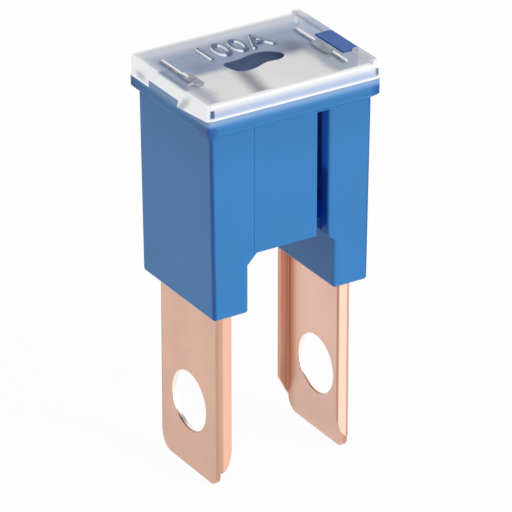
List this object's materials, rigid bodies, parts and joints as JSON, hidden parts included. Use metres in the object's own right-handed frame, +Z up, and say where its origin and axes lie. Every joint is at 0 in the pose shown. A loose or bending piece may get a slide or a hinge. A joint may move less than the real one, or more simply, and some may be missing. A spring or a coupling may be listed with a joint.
{
  "type": "fusible link",
  "caption": "Bolt-on fusible link: blue moulded housing with a clear clip-on cover over a fuse strip, on folded copper blades with bolt holes.",
  "frame": {"origin": "midway between the two blade tips, at their lowest level", "axes": "+Z up from the blade tips to the cover, X across the two blades, -Y out of the front face with the slot right of its middle"},
  "size_m": [0.0202, 0.0152, 0.0445],
  "materials": {
    "housing_plastic": "blue moulded thermoplastic, satin",
    "clear_plastic": "clear moulded plastic, slightly frosted, with a polished sight window",
    "copper": "bare copper strip, satin",
    "plated_strip": "tin-plated strip, matte",
    "tin": "tin, dull"
  },
  "bodies": {
    "root": {"housing": "housing_plastic", "cover": "clear_plastic", "terminal_left": "copper", "terminal_right": "copper", "fuse_strip": "plated_strip", "tin_pellet": "tin"}
  },
  "joints": []
}
